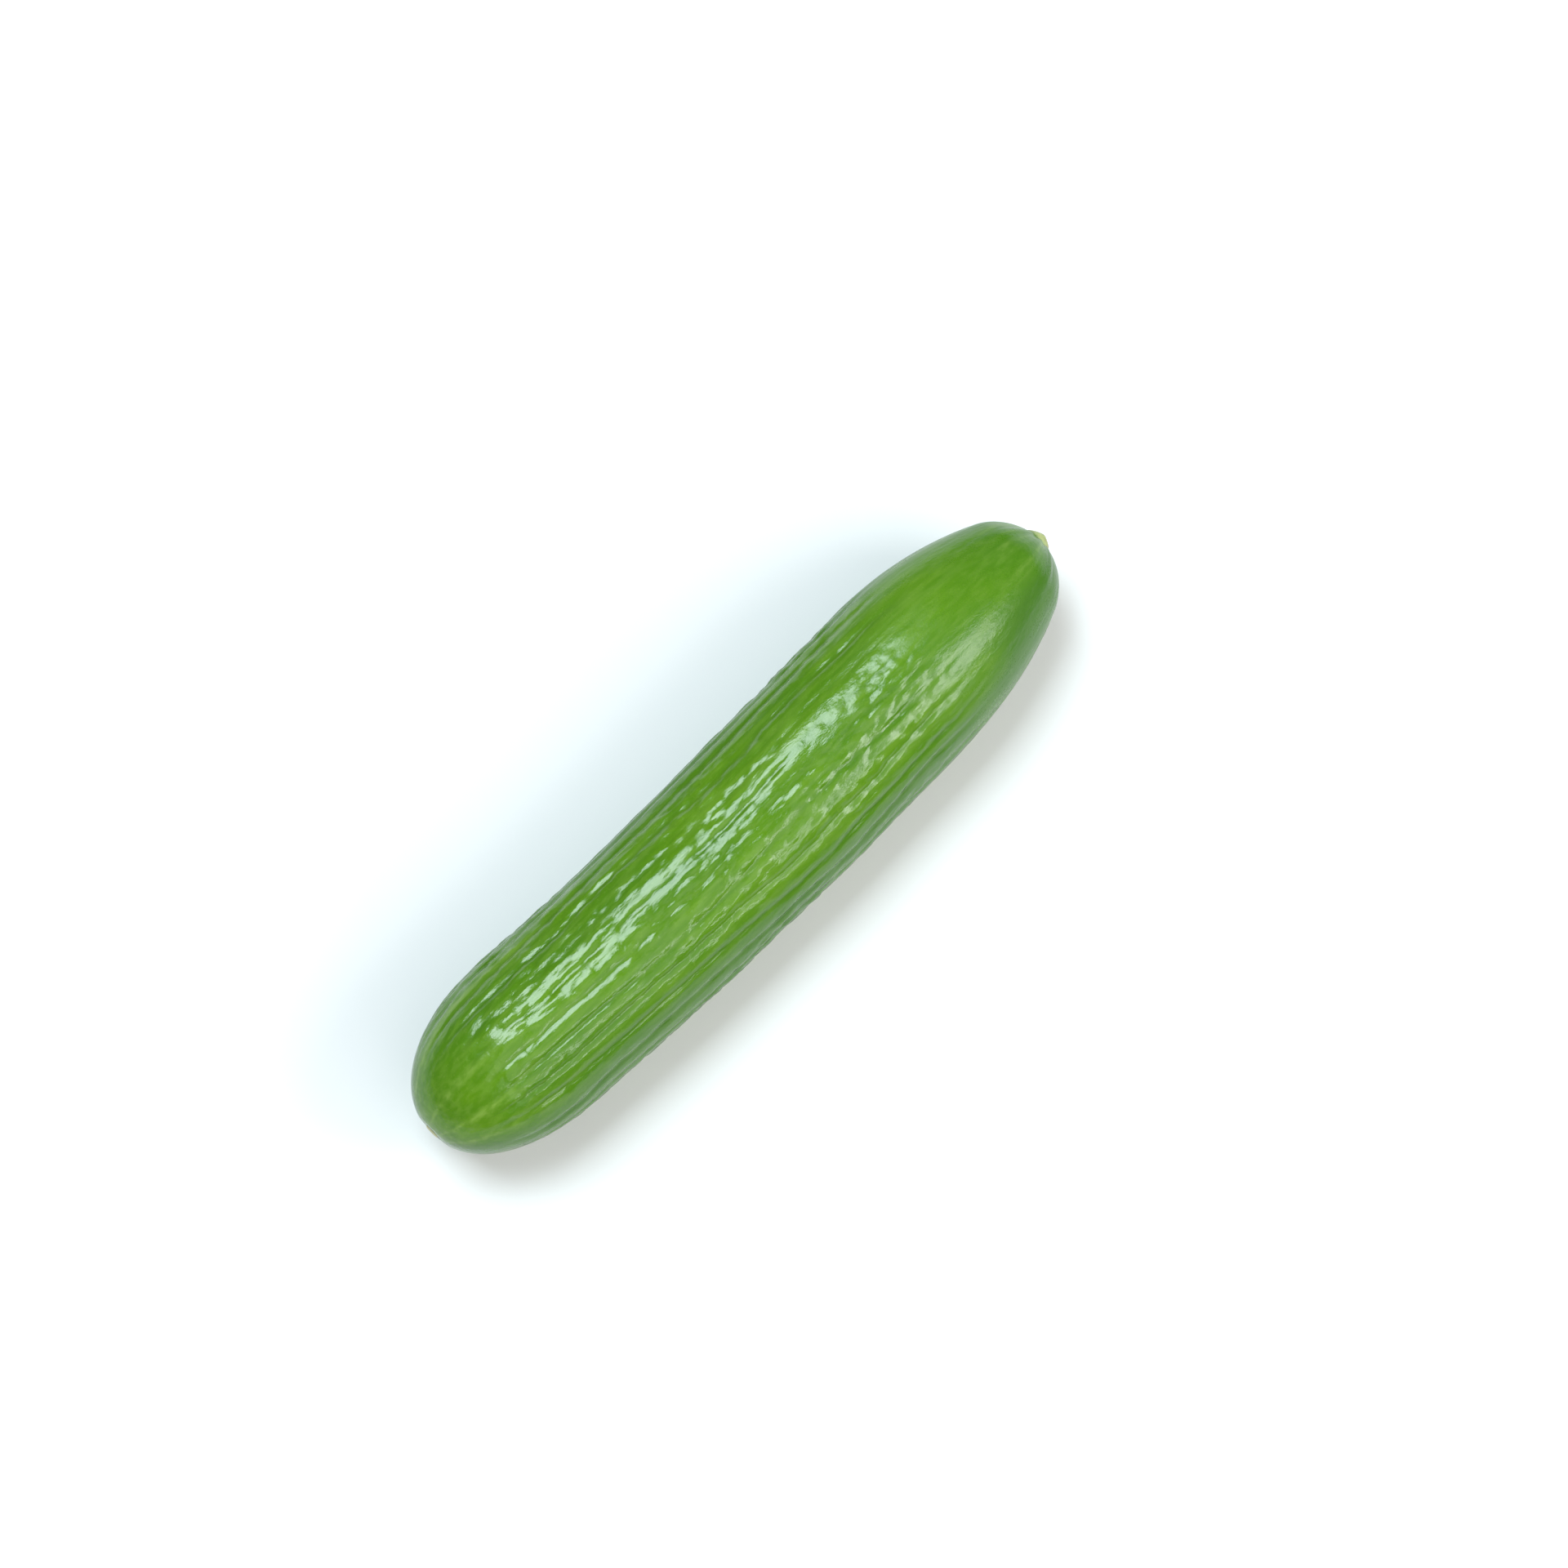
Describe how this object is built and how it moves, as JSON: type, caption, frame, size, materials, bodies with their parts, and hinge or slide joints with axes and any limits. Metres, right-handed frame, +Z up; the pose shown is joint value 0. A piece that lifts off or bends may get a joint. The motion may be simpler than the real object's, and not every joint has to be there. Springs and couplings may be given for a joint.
{
  "type": "cucumber",
  "caption": "Smooth-skinned mini cucumber lying on its side: slightly bowed, glossy green, wrinkled lengthwise, with a short cut stem stub.",
  "frame": {"origin": "on the surface that the cucumber lies on, under the middle of the outline", "axes": "+X along the fruit from the blossom end to the stem end, +Z up, and the fruit's middle bows towards -Y"},
  "size_m": [0.17, 0.038, 0.0368],
  "materials": {
    "cucumber_skin": "waxy glossy green skin with a fine lengthwise wrinkle, lighter streaks from the blossom end",
    "cut_stem": "matt pale yellow-green stem with a dry cream fibrous cut face"
  },
  "bodies": {
    "root": {"fruit": "cucumber_skin", "stem_stub": "cut_stem"}
  },
  "joints": []
}
